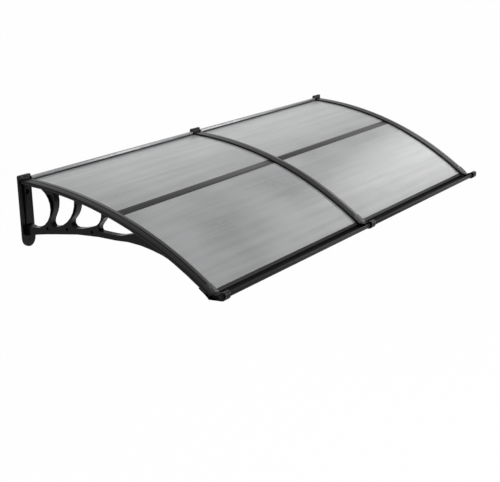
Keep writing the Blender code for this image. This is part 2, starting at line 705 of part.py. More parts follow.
def rear_rail_mesh():
    """Hollow rail against the wall, open at the bottom front where the sheet's rear edge goes in."""
    front_in = REAR_DEPTH - REAR_WALL
    over_sheet = SHEET_TOP - CLEARANCE
    under_sheet = SHEET_UNDER + CLEARANCE
    lip = [on_arch(tilt_at(out, over_sheet), over_sheet) for out in (front_in, REAR_DEPTH)]
    ledge = [on_arch(tilt_at(out, under_sheet), under_sheet) for out in (REAR_WALL, REAR_DEPTH)]
    drop = Vector((0, REAR_WALL))
    skirt_up = ledge[0][1] - REAR_SKIRT
    round_off = 0.0012
    outline = [Vector((0, REAR_HEIGHT)), Vector((REAR_DEPTH - round_off, REAR_HEIGHT)),
               Vector((REAR_DEPTH, REAR_HEIGHT - round_off)), Vector((REAR_DEPTH, lip[1][1])),
               Vector((front_in, lip[0][1])), Vector((front_in, REAR_HEIGHT - REAR_WALL)),
               Vector((REAR_WALL, REAR_HEIGHT - REAR_WALL)), Vector((REAR_WALL, ledge[0][1])),
               Vector((REAR_DEPTH, ledge[1][1])), Vector((REAR_DEPTH, ledge[1][1])) - drop,
               Vector((REAR_WALL, ledge[0][1])) - drop, Vector((REAR_WALL, skirt_up)), Vector((0, skirt_up))]
    margin = PLATE_WIDTH / 2 + CLEARANCE
    blank = straight(outline, margin, BAY - margin, "rear_rail")
    holes = []
    for share in (0.1, 0.5, 0.9):
        hole = rod(REAR_SCREW_HOLE / 2, 3 * REAR_WALL, HOLE_SIDES, "rear_rail_hole")
        point = place(BAY * share, (-REAR_WALL, (REAR_HEIGHT + ledge[0][1]) / 2))
        holes.append(working(hole, point, (math.pi / 2, 0, 0)))
    return combined(blank, "DIFFERENCE", holes)


def rear_seal_mesh():
    """Rubber bead in the corner between the rear rail's front and the sheet."""
    inner = REAR_DEPTH + CLEARANCE
    outer = inner + REAR_SEAL_WIDTH
    depth = SHEET_TOP - CLEARANCE
    foot_in = on_arch(tilt_at(inner, depth), depth)
    foot_out = on_arch(tilt_at(outer, depth), depth)
    height = REAR_SEAL_HEIGHT
    outline = [foot_in, foot_out, foot_out + Vector((0, 0.3 * height)),
               foot_in + Vector((0.62 * REAR_SEAL_WIDTH, 0.78 * height)), foot_in + Vector((0, height))]
    margin = PLATE_WIDTH / 2 + CLEARANCE
    return straight(outline, margin, BAY - margin, "rear_seal")


def slot_corner(tilt_shift, depth):
    """Point near the sheet's front edge: metres past the edge along the sheet, and depth."""
    tilt = facet_tilt(SHEET_END_TILT)
    along = Vector((math.cos(tilt), -math.sin(tilt)))
    return on_arch(SHEET_END_TILT, depth) + along * tilt_shift


def slot_front():
    """Top front corner of the gutter's grip on the sheet."""
    return slot_corner(CLEARANCE + GUTTER_WALL, SHEET_TOP - CLEARANCE - GUTTER_WALL)


def gutter_outside():
    """Outer line of the trough from its back foot to the bead on its front lip."""
    back = slot_corner(CLEARANCE, SHEET_UNDER)[0]
    radius = GUTTER_FRONT_RADIUS
    foot = circle_points((GUTTER_FRONT - radius, GUTTER_FLOOR + radius), radius,
                         (GUTTER_FRONT - radius, GUTTER_FLOOR), (GUTTER_FRONT, GUTTER_FLOOR + radius), 5)
    return [Vector((back, GUTTER_FLOOR))] + foot


def gutter_outline():
    """Side outline of the gutter: the grip on the sheet's edge, the trough and the beaded lip."""
    wall = GUTTER_WALL
    grip_top = SHEET_TOP - CLEARANCE
    grip_under = SHEET_UNDER + CLEARANCE
    outer_top = grip_top - wall
    outer_under = grip_under + wall
    front = slot_front()
    trough = gutter_outside()
    inner_front = GUTTER_FRONT - wall
    inner_floor = GUTTER_FLOOR + wall
    radius = GUTTER_FRONT_RADIUS - wall
    centre = (GUTTER_FRONT - GUTTER_FRONT_RADIUS, GUTTER_FLOOR + GUTTER_FRONT_RADIUS)
    inner_curve = circle_points(centre, radius, (centre[0], inner_floor), (inner_front, centre[1]), 4)
    bead_centre = (GUTTER_FRONT - GUTTER_BEAD, GUTTER_LIP_UP - GUTTER_BEAD)
    start = math.radians(-130)
    bead = []
    for step in range(8):
        angle = start - (math.radians(230) * step / 7)
        bead.append(Vector((bead_centre[0] + GUTTER_BEAD * math.cos(angle),
                            bead_centre[1] + GUTTER_BEAD * math.sin(angle))))
    under_web = slot_corner(CLEARANCE + wall, SHEET_UNDER)
    outline = [slot_corner(-GUTTER_GRIP, outer_top), front, under_web,
               Vector((under_web[0], inner_floor))]
    outline += inner_curve + [Vector((inner_front, bead[0][1]))] + bead
    outline += list(reversed(trough))
    outline += [slot_corner(CLEARANCE, outer_under), slot_corner(-GUTTER_GRIP, outer_under),
                slot_corner(-GUTTER_GRIP, grip_under), slot_corner(CLEARANCE, grip_under),
                slot_corner(CLEARANCE, grip_top), slot_corner(-GUTTER_GRIP, grip_top)]
    return outline


def ribbon(path, thickness):
    """Closed outline of a band of even thickness whose middle follows a path."""
    sides = ([], [])
    for index, point in enumerate(path):
        before = path[max(index - 1, 0)]
        after = path[min(index + 1, len(path) - 1)]
        towards = [(b - a).normalized() for a, b in ((before, point), (point, after)) if (b - a).length > 0]
        middle = sum(towards, Vector((0, 0))).normalized()
        normal = Vector((-middle[1], middle[0]))
        stretch = 1 / max(middle.dot(towards[0]), 0.5)
        for side, sign in zip(sides, (1, -1)):
            side.append(point + normal * sign * stretch * thickness / 2)
    return sides[0] + list(reversed(sides[1]))


def collar_screw_tilt():
    return RAIL_END_TILT - 0.4 * COLLAR_TONGUE / ARCH_RADIUS


def collar_path():
    """Middle line of a collar: along under the bracket, round the trough and over its bead."""
    gap = CLEARANCE + COLLAR_THICKNESS / 2
    rear = on_arch(RAIL_END_TILT - COLLAR_TONGUE / ARCH_RADIUS, BODY_UNDER + gap)
    nose = on_arch(RAIL_END_TILT, BODY_UNDER + gap)
    back = gutter_outside()[0] + Vector((-gap, -gap))
    radius = GUTTER_FRONT_RADIUS + gap
    centre = (GUTTER_FRONT - GUTTER_FRONT_RADIUS, GUTTER_FLOOR + GUTTER_FRONT_RADIUS)
    curve = circle_points(centre, radius, (centre[0], centre[1] - radius), (centre[0] + radius, centre[1]), 5)
    bead_centre = (GUTTER_FRONT - GUTTER_BEAD, GUTTER_LIP_UP - GUTTER_BEAD)
    hook_radius = GUTTER_BEAD + gap
    hook = []
    for step in range(7):
        angle = math.radians(200) * step / 6
        hook.append(Vector((bead_centre[0] + hook_radius * math.cos(angle),
                            bead_centre[1] + hook_radius * math.sin(angle))))
    return [rear, nose, back] + curve + hook


def collar_mesh():
    half = COLLAR_WIDTH / 2
    blank = straight(ribbon(collar_path(), COLLAR_THICKNESS), -half, half, "gutter_collar")
    tilt = facet_tilt(collar_screw_tilt())
    start = place(0, on_arch(collar_screw_tilt(), BODY_UNDER + 2 * COLLAR_THICKNESS))
    hole = working(rod(HOLE_RADIUS, 3 * COLLAR_THICKNESS, HOLE_SIDES, "collar_hole"), start, (tilt, 0, 0))
    return shade(combined(blank, "DIFFERENCE", [hole]), 30)


def screw_mesh(length, name):
    """Pan-head screw that stands on its head, with the head's seat at the origin."""
    head = SCREW_HEAD_RADIUS
    tall = SCREW_HEAD_HEIGHT
    profile = ((0, -tall), (head * 0.62, -tall * 0.88), (head, -tall * 0.35), (head, 0),
               (SCREW_RADIUS, 0), (SCREW_RADIUS, length - SCREW_TIP), (SCREW_RADIUS * 0.5, length), (0, length))
    return shade(turned(profile, HOLE_SIDES, name))


def clear_scene():
    for item in list(bpy.data.objects):
        bpy.data.objects.remove(item)
    frame = bpy.data.objects.new("awning", None)
    bpy.context.scene.collection.objects.link(frame)


def build_brackets():
    bracket = bracket_mesh()
    strip = press_strip_mesh()
    end = strip_end_mesh()
    collar = collar_mesh()
    for name, x in zip(BRACKET_NAMES, BRACKET_X):
        show(f"bracket_{name}", bracket, "black_plastic", x)
        show(f"press_strip_{name}", strip, "black_aluminium", x)
        show(f"strip_end_{name}", end, "black_plastic", x)
        show(f"gutter_collar_{name}", collar, "black_plastic", x)


def build_seals():
    last = len(BRACKET_X) - 1
    for index, (name, x) in enumerate(zip(BRACKET_NAMES, BRACKET_X)):
        for side, word in ((-1, "left"), (1, "right")):
            on_sheet = not (index == 0 and side < 0 or index == last and side > 0)
            label = f"seal_strip_{name}_{word}"
            show(label, seal_mesh(side, on_sheet, label), "black_rubber", x)


def build_bays():
    web = (JOINER_WEB / 2 + CLEARANCE) / ARCH_RADIUS
    rear_sheet = sheet_mesh(REAR_TILT, MID_TILT - web, "sheet_rear")
    front_sheet = sheet_mesh(MID_TILT + web, SHEET_END_TILT, "sheet_front")
    joiner = joiner_mesh()
    rear_rail = rear_rail_mesh()
    rear_seal = rear_seal_mesh()
    for index, (name, x) in enumerate(zip(BAY_NAMES, BRACKET_X)):
        show(f"sheet_rear_{name}", rear_sheet, "grey_sheet", x)
        show(f"sheet_front_{name}", front_sheet, "grey_sheet", x)
        show(f"joining_strip_{name}", joiner, "black_aluminium", x)
        show(f"rear_rail_{name}", rear_rail, "silver_aluminium", x)
        show(f"rear_seal_{name}", rear_seal, "black_rubber", x)
        starts = CLEARANCE if index > 0 else -STRIP_WIDTH / 2
        ends = BAY - CLEARANCE if index < len(BAY_NAMES) - 1 else BAY + STRIP_WIDTH / 2
        gutter = straight(gutter_outline(), starts, ends, f"front_gutter_{name}")
        show(f"front_gutter_{name}", shade(gutter, 30), "black_aluminium", x)


def build_screws():
    tip_depth = STRIP_THICKNESS + CLEARANCE * 2
    strip_length = BODY_UNDER + CLEARANCE - tip_depth
    strip_screw = screw_mesh(strip_length, "strip_screw")
    collar_screw = screw_mesh(COLLAR_THICKNESS + CLEARANCE * 2 + COLLAR_SCREW_BITE, "collar_screw")
    for name, x in zip(BRACKET_NAMES, BRACKET_X):
        for number, facet in enumerate(STRIP_SCREW_FACETS, 1):
            tilt = ARCH_TILT_WALL + (facet + 0.5) * FACET
            seat = place(x, on_arch(tilt, BODY_UNDER + CLEARANCE))
            show(f"strip_screw_{name}_{number}", strip_screw, "zinc_steel", location=seat, tilt=tilt)
        depth = BODY_UNDER + CLEARANCE * 2 + COLLAR_THICKNESS
        seat = place(x, on_arch(collar_screw_tilt(), depth))
        tilt = facet_tilt(collar_screw_tilt())
        show(f"collar_screw_{name}", collar_screw, "zinc_steel", location=seat, tilt=tilt)


def main():
    clear_scene()
    build_brackets()
    build_seals()
    build_bays()
    build_screws()


main()
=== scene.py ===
"""Looks of a two-bay door awning: moulded black brackets, anodised strips and twin-wall sheets.

Metres, +Z up. X runs along the wall, the wall is the plane Y = 0 and the awning reaches out to -Y.
Side outlines are drawn as (out, up): out is the distance from the wall, up the height over the spring
line, where the top of the arch meets the wall. What follows the arch takes a depth, measured from the
top of the press strips towards the arch's centre.
"""
import math

import bmesh
import bpy
from mathutils import Matrix, Vector


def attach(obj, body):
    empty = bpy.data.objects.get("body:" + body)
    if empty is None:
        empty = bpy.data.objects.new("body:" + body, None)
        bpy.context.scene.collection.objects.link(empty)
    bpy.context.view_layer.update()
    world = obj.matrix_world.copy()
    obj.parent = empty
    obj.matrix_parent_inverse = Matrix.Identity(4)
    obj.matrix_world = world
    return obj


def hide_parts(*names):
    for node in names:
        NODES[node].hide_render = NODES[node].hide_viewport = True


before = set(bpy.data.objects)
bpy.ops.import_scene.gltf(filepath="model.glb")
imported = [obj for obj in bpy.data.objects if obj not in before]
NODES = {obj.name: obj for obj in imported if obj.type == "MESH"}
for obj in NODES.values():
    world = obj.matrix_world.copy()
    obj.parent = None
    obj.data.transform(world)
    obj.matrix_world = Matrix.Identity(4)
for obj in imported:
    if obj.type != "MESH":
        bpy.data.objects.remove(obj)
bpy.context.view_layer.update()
BODY = "root"
MM = 0.001

# The awning as built
BAY = 1.200
REACH = 0.865
TILT_WALL = math.radians(5.0)
TILT_FRONT = math.radians(40.5)
SPRING_Z = 0.146
BRACKETS = {"left": -BAY, "center": 0.0, "right": BAY}
BAYS = {"left": -BAY, "right": 0.0}
GAP = 0.3 * MM

# Depths from the top of the press strips down
STRIP_THICKNESS = 2.6 * MM
LIP_DEPTH = 5.8 * MM
SHEET_THICKNESS = 5.0 * MM
RAIL_BODY = 6.5 * MM
SEAL_TOP = STRIP_THICKNESS + GAP
LIP_UNDER = STRIP_THICKNESS + LIP_DEPTH
SHEET_TOP = SEAL_TOP + LIP_DEPTH + GAP
SHEET_UNDER = SHEET_TOP + SHEET_THICKNESS
RAIL_TOP = SHEET_UNDER + GAP
BODY_UNDER = RAIL_TOP + RAIL_BODY

# Arch
RADIUS = REACH / (math.sin(TILT_FRONT) - math.sin(TILT_WALL))
CENTRE_OUT = -RADIUS * math.sin(TILT_WALL)
CENTRE_UP = -RADIUS * math.cos(TILT_WALL)
PLATE_THICKNESS = 10.0 * MM
PLATE_HALF = 35.0 * MM
RAIL_DEPTH = 16.0 * MM
MID_TILT = math.radians(21.7)

# Sections
STRIP_HALF = 28.0 * MM
LIP = 1.8 * MM
STRIP_END_LENGTH = 48.0 * MM
JOINER_HALF = 17.0 * MM
JOINER_WEB_HALF = 1.0 * MM
JOINER_FLANGE = 1.4 * MM
GUTTER_WALL = 1.4 * MM
GRIP = 12.0 * MM
COLLAR_WALL = 4.5 * MM
COLLAR_TAIL = 34.0 * MM

# Sheets: the real flutes are about 6 mm wide and would vanish in the picture, so they are drawn wider
SHEET_MARGIN = 8.5 * MM
FLUTE_PITCH = 15.0 * MM
SKIN = 0.7 * MM
ARCH_STEP = math.radians(0.75)

# Camera, worked out from the photograph's 500 pixels of width
LENS = 90.15
SENSOR = 36.0
CAMERA_AT = Vector((-4.8125, -3.2452, 1.0353))
CAMERA_FORWARD = Vector((0.82689, 0.50909, -0.23892))
CAMERA_UP = Vector((0.22448, 0.09072, 0.97025))
FLOOR_Z = -2.30
FLOOR_SIZE = 150.0


def tilt_at(out, depth=0.0):
    """Angle from the vertical of the arch's point this far out and this deep."""
    return math.asin((out - CENTRE_OUT) / (RADIUS - depth))


def on_arch(tilt, depth):
    """Point (out, up) at this depth on the arch."""
    reach = RADIUS - depth
    return Vector((CENTRE_OUT + reach * math.sin(tilt), CENTRE_UP + reach * math.cos(tilt)))


def place(x, point):
    """World position of a side outline's point (out, up)."""
    return Vector((x, -point[0], point[1] + SPRING_Z))


def spread(first, last, step):
    """Evenly spaced values from first to last, no further apart than step."""
    count = max(1, math.ceil((last - first) / step))
    return [first + (last - first) * index / count for index in range(count + 1)]


SHEET_SHORT = 4.0 * MM
RAIL_SHORT = 17.0 * MM
REAR_TILT = tilt_at(PLATE_THICKNESS + 2 * GAP, RAIL_TOP)
SHEET_END_TILT = tilt_at(REACH - SHEET_SHORT)
STRIP_END_TILT = tilt_at(REACH) - STRIP_END_LENGTH / RADIUS
RAIL_END_TILT = tilt_at(REACH - RAIL_SHORT)
GUTTER_FLOOR = on_arch(TILT_FRONT, 0)[1] - 17.2 * MM
GUTTER_LIP = GUTTER_FLOOR + 20.5 * MM
GUTTER_FRONT = REACH + 48.5 * MM
GUTTER_BEND = 12.0 * MM
BEAD = 4.0 * MM
BEND_CENTRE = Vector((GUTTER_FRONT - GUTTER_BEND, GUTTER_FLOOR + GUTTER_BEND))
BEAD_CENTRE = Vector((GUTTER_FRONT - BEAD, GUTTER_LIP - BEAD))


# Colours, nodes and materials

def linear(text):
    """An sRGB hex colour as linear red, green, blue and alpha."""
    channels = []
    for start in (0, 2, 4):
        value = int(text[start:start + 2], 16) / 255
        channels.append(value / 12.92 if value <= 0.04045 else ((value + 0.055) / 1.055) ** 2.4)
    return (*channels, 1.0)


def add(tree, kind, settings=None, links=None):
    """Add a node, set its properties and unlinked sockets, and link its inputs."""
    node = tree.nodes.new(kind)
    for name, value in (settings or {}).items():
        if isinstance(name, int) or name in node.inputs:
            node.inputs[name].default_value = value
        else:
            setattr(node, name, value)
    for name, source in (links or {}).items():
        tree.links.new(source, node.inputs[name])
    return node


def new_material(name, **sockets):
    """A material with one Principled shader, its sockets set by name."""
    made = bpy.data.materials.new(name)
    made.use_nodes = True
    shader = made.node_tree.nodes["Principled BSDF"]
    for socket, value in sockets.items():
        shader.inputs[socket.replace("_", " ")].default_value = value
    return made, made.node_tree, shader


def connect(tree, shader, **sources):
    """Link outputs to a shader's sockets, named as in new_material."""
    for socket, source in sources.items():
        tree.links.new(source, shader.inputs[socket.replace("_", " ")])


def per_metre(*sizes):
    """Scale of a pattern along X, Y and Z from its sizes in millimetres."""
    return tuple(1 / (size * MM) for size in sizes)


def satin_black_abs():
    """ABS, injection moulded against a spark-eroded tool: satin black, soft broad highlights.

    The tool's real grain of about 0.1 mm would vanish in the picture, so it is drawn 0.9 mm wide.
    """
    cloud_size = 111.1 * MM
    grain_size = 0.9 * MM
    made, tree, shader = new_material("satin_black_abs", IOR=1.54, Specular_IOR_Level=0.12)
    spot = add(tree, "ShaderNodeTexCoord").outputs["Object"]
    cloud = add(tree, "ShaderNodeTexNoise", {"Scale": 1 / cloud_size, "Detail": 3.0}, {"Vector": spot})
    grain = add(tree, "ShaderNodeTexNoise", {"Scale": 1 / grain_size, "Detail": 1.0}, {"Vector": spot})
    tone = add(tree, "ShaderNodeMapRange", {"From Min": 0.3, "From Max": 0.7},
               {"Value": cloud.outputs["Fac"]})
    colour = add(tree, "ShaderNodeMix", {"data_type": "RGBA", "A": linear("070708"), "B": linear("0c0c0d")},
                 {"Factor": tone.outputs["Result"]})
    satin = add(tree, "ShaderNodeMapRange", {"To Min": 0.19, "To Max": 0.31},
                {"Value": cloud.outputs["Fac"]})
    relief = add(tree, "ShaderNodeBump", {"Strength": 0.16, "Distance": 0.12 * MM},
                 {"Height": grain.outputs["Fac"]})
    connect(tree, shader, Base_Color=colour.outputs["Result"], Roughness=satin.outputs["Result"],
            Normal=relief.outputs["Normal"])
    return made


def extruded_aluminium(name, dark, light, roughness, line_sizes, bare=1.0, specular=0.5):
    """Aluminium, extruded and anodised: die lines stretch its reflections along the bar.

    Under a black dye the metal is hidden and the weak clear reflection of its skin is left, so bare is 0.
    Real die lines lie about 0.2 mm apart and would vanish in the picture, so they are drawn over 1 mm apart.
    """
    cloud_size = 200.0 * MM
    made, tree, shader = new_material(name, Metallic=bare, Specular_IOR_Level=specular)
    spot = add(tree, "ShaderNodeTexCoord").outputs["Object"]
    drawn = add(tree, "ShaderNodeMapping", {"Scale": per_metre(*line_sizes)}, {"Vector": spot})
    lines = add(tree, "ShaderNodeTexNoise", {"Scale": 1.0, "Detail": 4.0},
                {"Vector": drawn.outputs["Vector"]})
    cloud = add(tree, "ShaderNodeTexNoise", {"Scale": 1 / cloud_size, "Detail": 2.0}, {"Vector": spot})
    tone = add(tree, "ShaderNodeMapRange", {"From Min": 0.3, "From Max": 0.7},
               {"Value": cloud.outputs["Fac"]})
    colour = add(tree, "ShaderNodeMix", {"data_type": "RGBA", "A": linear(dark), "B": linear(light)},
                 {"Factor": tone.outputs["Result"]})
    satin = add(tree, "ShaderNodeMapRange", {"To Min": roughness - 0.07, "To Max": roughness + 0.07},
                {"Value": lines.outputs["Fac"]})
    relief = add(tree, "ShaderNodeBump", {"Strength": 0.2, "Distance": 0.05 * MM},
                 {"Height": lines.outputs["Fac"]})
    connect(tree, shader, Base_Color=colour.outputs["Result"], Roughness=satin.outputs["Result"],
            Normal=relief.outputs["Normal"])
    return made


def smoke_polycarbonate():
    """Polycarbonate, extruded as a twin-wall sheet: smoky grey, glossy, its webs show as fine lines.

    Its skins are never quite flat: bands 26 mm wide and a cloud of about 300 mm break up what they reflect
    through bump and roughness; the same bands and cloud also paint the colour lighter and darker, a painted
    reflection.
    """
    made, tree, shader = new_material("smoke_polycarbonate", IOR=1.585, Transmission_Weight=0.30)
    spot = add(tree, "ShaderNodeTexCoord").outputs["Object"]
    split = add(tree, "ShaderNodeSeparateXYZ", {}, {"Vector": spot})
    turns = add(tree, "ShaderNodeMath", {"operation": "MULTIPLY", 1: 2 * math.pi / FLUTE_PITCH},
                {0: split.outputs["X"]})
    wave = add(tree, "ShaderNodeMath", {"operation": "COSINE"}, {0: turns.outputs["Value"]})
    web = add(tree, "ShaderNodeMapRange", {"From Min": 0.2, "From Max": 1.0},
              {"Value": wave.outputs["Value"]})
    web_share = add(tree, "ShaderNodeMath", {"operation": "MULTIPLY", 1: 0.5}, {0: web.outputs["Result"]})
    banded = add(tree, "ShaderNodeMapping", {"Scale": per_metre(769.2, 26.316, 26.316)}, {"Vector": spot})
    bands = add(tree, "ShaderNodeTexNoise", {"Scale": 1.0, "Detail": 3.0},
                {"Vector": banded.outputs["Vector"]})
    clouded = add(tree, "ShaderNodeMapping", {"Scale": per_metre(390.63, 260.42, 260.42)}, {"Vector": spot})
    cloud = add(tree, "ShaderNodeTexNoise", {"Scale": 1.0, "Detail": 3.0},
                {"Vector": clouded.outputs["Vector"]})
    # painted reflection: cloud and bands mixed into a mask that paints the sheet lighter and darker
    painted_reflection_mix = add(tree, "ShaderNodeMix", {"data_type": "FLOAT", "Factor": 0.45},
               {"A": cloud.outputs["Fac"], "B": bands.outputs["Fac"]})
    tone = add(tree, "ShaderNodeMapRange", {"From Min": 0.38, "From Max": 0.62},
               {"Value": painted_reflection_mix.outputs["Result"]})
    # smoke grey with a painted reflection: lighter and darker where that mask says
    smoke_and_painted_reflection = add(tree, "ShaderNodeMix", {"data_type": "RGBA", "A": linear("98999a"), "B": linear("b6b7b8")},
                {"Factor": tone.outputs["Result"]})
    lined = add(tree, "ShaderNodeMix", {"data_type": "RGBA", "B": linear("55565a")},
                {"Factor": web_share.outputs["Value"], "A": smoke_and_painted_reflection.outputs["Result"]})
    gloss = add(tree, "ShaderNodeMapRange", {"To Min": 0.22, "To Max": 0.38},
                {"Value": cloud.outputs["Fac"]})
    relief = add(tree, "ShaderNodeBump", {"Strength": 0.25, "Distance": 0.12 * MM},
                 {"Height": bands.outputs["Fac"]})
    connect(tree, shader, Base_Color=lined.outputs["Result"], Roughness=gloss.outputs["Result"],
            Normal=relief.outputs["Normal"])
    return made


def epdm_rubber():
    """EPDM rubber, extruded: deep matt black with a faint bloom in streaks 17 mm wide."""
    made, tree, shader = new_material("epdm_rubber", IOR=1.52)
    spot = add(tree, "ShaderNodeTexCoord").outputs["Object"]
    streaked = add(tree, "ShaderNodeMapping", {"Scale": per_metre(83.333, 16.667, 16.667)}, {"Vector": spot})
    bloom = add(tree, "ShaderNodeTexNoise", {"Scale": 1.0, "Detail": 3.0},
                {"Vector": streaked.outputs["Vector"]})
    tone = add(tree, "ShaderNodeMapRange", {"From Min": 0.3, "From Max": 0.7},
               {"Value": bloom.outputs["Fac"]})
    colour = add(tree, "ShaderNodeMix", {"data_type": "RGBA", "A": linear("121213"), "B": linear("1e1e1f")},
                 {"Factor": tone.outputs["Result"]})
    matt = add(tree, "ShaderNodeMapRange", {"To Min": 0.72, "To Max": 0.88}, {"Value": bloom.outputs["Fac"]})
    connect(tree, shader, Base_Color=colour.outputs["Result"], Roughness=matt.outputs["Result"])
    return made


def zinc_plated_steel():
    """Steel screws, cold headed and zinc plated: pale grey metal with a faint warm bloom of 2.4 mm spots."""
    spot_size = 2.381 * MM
    made, tree, shader = new_material("zinc_plated_steel", Metallic=1.0)
    spot = add(tree, "ShaderNodeTexCoord").outputs["Object"]
    bloom = add(tree, "ShaderNodeTexNoise", {"Scale": 1 / spot_size, "Detail": 2.0}, {"Vector": spot})
    tone = add(tree, "ShaderNodeMapRange", {"From Min": 0.3, "From Max": 0.7},
               {"Value": bloom.outputs["Fac"]})
    colour = add(tree, "ShaderNodeMix", {"data_type": "RGBA", "A": linear("a9a79f"), "B": linear("c6c7c6")},
                 {"Factor": tone.outputs["Result"]})
    satin = add(tree, "ShaderNodeMapRange", {"To Min": 0.24, "To Max": 0.42},
                {"Value": bloom.outputs["Fac"]})
    connect(tree, shader, Base_Color=colour.outputs["Result"], Roughness=satin.outputs["Result"])
    return made


ABS = satin_black_abs()
STRIP_METAL = extruded_aluminium("black_anodised_aluminium", "0a0a0b", "101011", 0.29,
                                 (1.1111, 333.33, 333.33), 0.0, 0.11)
GUTTER_METAL = extruded_aluminium("black_anodised_gutter_aluminium", "1a1a1b", "222224", 0.42,
                                  (333.33, 1.4286, 1.4286), 0.0, 0.06)
JOINER_METAL = extruded_aluminium("black_anodised_joiner_aluminium", "101011", "171718", 0.34,
                                  (333.33, 1.4286, 1.4286), 0.0, 0.14)
RAIL_METAL = extruded_aluminium("natural_anodised_aluminium", "77787a", "88898b", 0.40,
                                (333.33, 1.25, 1.25))
SHEET_PLASTIC = smoke_polycarbonate()
RUBBER = epdm_rubber()
ZINC = zinc_plated_steel()


# Making pieces

def closed(maker, name, angle=32):
    """Keep a bmesh as a mesh with its faces pointing out, smooth up to this angle."""
    bmesh.ops.remove_doubles(maker, verts=maker.verts, dist=0.001 * MM)
    bmesh.ops.recalc_face_normals(maker, faces=maker.faces)
    mesh = bpy.data.meshes.new(name)
    maker.to_mesh(mesh)
    maker.free()
    mesh.shade_smooth()
    mesh.set_sharp_from_angle(angle=math.radians(angle))
    return mesh


def loft(rings, name, angle=32):
    """Skin rings of points, with a flat face at each end."""
    maker = bmesh.new()
    rows = [[maker.verts.new(point) for point in ring] for ring in rings]
    count = len(rings[0])
    for near, far in zip(rows, rows[1:]):
        for index in range(count):
            after = (index + 1) % count
            maker.faces.new((near[index], near[after], far[after], far[index]))
    caps = [maker.faces.new(rows[0]), maker.faces.new(rows[-1])]
    bmesh.ops.triangulate(maker, faces=caps)
    return closed(maker, name, angle)


def joined(meshes, name, angle):
    """Several closed forms as one mesh."""
    maker = bmesh.new()
    for mesh in meshes:
        maker.from_mesh(mesh)
    return closed(maker, name, angle)


def along_arch(section, first, last, name, x):
    """Sweep a section of (x, depth) points along the arch."""
    rings = []
    for tilt in spread(first, last, ARCH_STEP):
        rings.append([place(x + across, on_arch(tilt, depth)) for across, depth in section])
    return loft(rings, name)


def along_wall(outline, x_from, x_to, name):
    """Draw a side outline out along X, with its ends a hair smaller so that they catch light."""
    chamfer = 0.4 * MM
    inset = 0.15 * MM
    middle = sum(outline, Vector((0, 0))) / len(outline)
    small = [point + (middle - point).normalized() * inset for point in outline]
    stations = ((x_from, small), (x_from + chamfer, outline), (x_to - chamfer, outline), (x_to, small))
    return loft([[place(x, point) for point in ring] for x, ring in stations], name)


def rounded(points, radii, steps=4):
    """Outline whose corners are rounded by arcs of the given radii; 0 keeps a corner."""
    line = []
    count = len(points)
    for index, point in enumerate(points):
        radius = radii[index] if isinstance(radii, (list, tuple)) else radii
        before = points[index - 1] - point
        after = points[(index + 1) % count] - point
        angle = before.angle(after)
        if radius == 0 or angle > math.radians(176):
            line.append(point)
            continue
        reach = min(radius / math.tan(angle / 2), 0.45 * before.length, 0.45 * after.length)
        start = point + before.normalized() * reach
        end = point + after.normalized() * reach
        for step in range(steps + 1):
            share = step / steps
            line.append(start * (1 - share) ** 2 + point * 2 * share * (1 - share) + end * share ** 2)
    return line


def arc_points(centre, radius, first, last, steps):
    """Points on an arc between two angles in degrees."""
    angles = [math.radians(first + (last - first) * step / steps) for step in range(steps + 1)]
    return [Vector((centre[0] + radius * math.cos(a), centre[1] + radius * math.sin(a))) for a in angles]


def show(name, mesh, look, slot, *nodes):
    """Put a mesh in the scene as a piece that stands for CAD nodes."""
    mesh.materials.clear()
    mesh.materials.append(look)
    piece = bpy.data.objects.new(name, mesh)
    bpy.context.scene.collection.objects.link(piece)
    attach(piece, BODY)
    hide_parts(*nodes)
    return piece


# Brackets: the CAD form with its moulded edges rounded

def bracket_piece(word):
    """A bracket with 1 mm moulded edges."""
    node = f"bracket_{word}"
    name = f"moulded_bracket_{word}"
    maker = bmesh.new()
    maker.from_mesh(NODES[node].data)
    bmesh.ops.remove_doubles(maker, verts=maker.verts, dist=0.01 * MM)
    bmesh.ops.dissolve_limit(maker, angle_limit=math.radians(1.0), verts=maker.verts, edges=maker.edges)
    piece = show(name, closed(maker, name), ABS, "black_plastic", node)
    bevel = piece.modifiers.new("moulded edges", "BEVEL")
    bevel.width = 1.0 * MM
    bevel.segments = 2
    bevel.limit_method = "ANGLE"
    bevel.angle_limit = math.radians(40)
    bevel.harden_normals = True
    return piece


# Press strips and their moulded ends

def press_strip_section():
    """Symmetric section of (x, depth): a groove, two sloping flanks, lips down to the sheets and a key."""
    groove_deep = 1.9 * MM
    groove_in = 2.5 * MM
    groove_out = 2.9 * MM
    flank_drop = 2.2 * MM
    lip_in = STRIP_HALF - LIP
    key = 3.0 * MM
    key_under = STRIP_THICKNESS + 3.7 * MM
    half = [Vector(point) for point in (
        (0, groove_deep), (groove_in, groove_deep), (groove_out, 0.0), (STRIP_HALF, flank_drop),
        (STRIP_HALF, LIP_UNDER), (lip_in, LIP_UNDER), (lip_in, STRIP_THICKNESS), (key, STRIP_THICKNESS),
        (key, key_under), (0, key_under))]
    mirrored = [Vector((-point[0], point[1])) for point in reversed(half[1:-1])]
    radii = [0, 0.3 * MM, 0.4 * MM, 1.2 * MM, 0.5 * MM, 0.4 * MM, 0, 0, 0.3 * MM, 0]
    return rounded(half + mirrored, radii + list(reversed(radii[1:-1])), 4)


def press_strip_piece(word, x):
    name = f"anodised_press_strip_{word}"
    mesh = along_arch(press_strip_section(), REAR_TILT, STRIP_END_TILT, name, x)
    return show(name, mesh, STRIP_METAL, "black_aluminium", f"press_strip_{word}")


ALONG_EDGE = Vector((math.cos(SHEET_END_TILT), -math.sin(SHEET_END_TILT)))
INTO_EDGE = Vector((-math.sin(SHEET_END_TILT), -math.cos(SHEET_END_TILT)))


def slot_point(along_shift, depth):
    """Point near the sheet's front edge: metres past the edge along the sheet, and depth."""
    return on_arch(SHEET_END_TILT, depth) + ALONG_EDGE * along_shift


